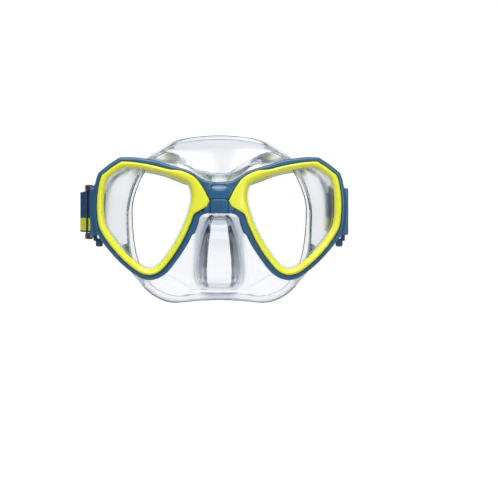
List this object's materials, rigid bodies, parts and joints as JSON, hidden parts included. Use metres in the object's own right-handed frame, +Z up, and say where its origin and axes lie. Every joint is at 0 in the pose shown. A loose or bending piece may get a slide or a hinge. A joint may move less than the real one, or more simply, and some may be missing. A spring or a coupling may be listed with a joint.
{
  "type": "snorkel mask",
  "caption": "Two-window dive and snorkel mask: clear silicone skirt with nose pocket, rigid frame, glass lenses, swivel buckles and an adjustable elastic strap.",
  "frame": {"origin": "centre of the face opening, on the plane where the skirt meets the face", "axes": "+X to the wearer's left, +Y backwards into the head, +Z up"},
  "size_m": [0.1874, 0.1966, 0.1131],
  "materials": {
    "blue_plastic": "satin moulded polycarbonate",
    "yellow_plastic": "satin moulded polycarbonate",
    "tempered_glass": "polished clear tempered glass",
    "clear_silicone": "clear moulded liquid silicone rubber, slightly frosted",
    "grey_plastic": "satin moulded acetal",
    "blue_webbing": "woven elastic webbing, blue with a yellow lower stripe",
    "steel": "stainless"
  },
  "bodies": {
    "mask": {"skirt": "clear_silicone", "frame": "blue_plastic", "bezel_left": "yellow_plastic", "bezel_right": "yellow_plastic", "lens_left": "tempered_glass", "lens_right": "tempered_glass", "bridge_plate": "blue_plastic", "strap_band": "blue_webbing", "hinge_pin_left": "steel", "hinge_pin_right": "steel", "button_spring_left": "steel", "button_spring_right": "steel"},
    "buckle_left": {"buckle_left": "blue_plastic", "strap_end_left": "blue_webbing"},
    "buckle_right": {"buckle_right": "blue_plastic", "strap_end_right": "blue_webbing"},
    "slider_left": {"slider_left": "grey_plastic"},
    "slider_right": {"slider_right": "grey_plastic"},
    "button_left": {"release_button_left": "blue_plastic"},
    "button_right": {"release_button_right": "blue_plastic"}
  },
  "joints": [
    {"name": "buckle_left_swing", "type": "hinge", "parent": "mask", "child": "buckle_left", "pos_m": [-0.0834, -0.0144, 0], "axis": [0, 0, 1], "range_deg": [-24, 30]},
    {"name": "buckle_right_swing", "type": "hinge", "parent": "mask", "child": "buckle_right", "pos_m": [0.0834, -0.0144, 0], "axis": [0, 0, 1], "range_deg": [-50, 8]},
    {"name": "slider_left_adjust", "type": "slide", "parent": "buckle_left", "child": "slider_left", "axis": [-0.2924, 0.9563, 0], "range_m": [0, 0.012]},
    {"name": "slider_right_adjust", "type": "slide", "parent": "buckle_right", "child": "slider_right", "axis": [-0.1392, 0.9903, 0], "range_m": [0, 0.012]},
    {"name": "button_left_press", "type": "slide", "parent": "mask", "child": "button_left", "axis": [0, 0, 1], "range_m": [0, 0.002], "stiffness_N_per_m": 600, "springref_m": -0.002, "deforming": ["button_spring_left"]},
    {"name": "button_right_press", "type": "slide", "parent": "mask", "child": "button_right", "axis": [0, 0, 1], "range_m": [0, 0.002], "stiffness_N_per_m": 600, "springref_m": -0.002, "deforming": ["button_spring_right"]}
  ]
}
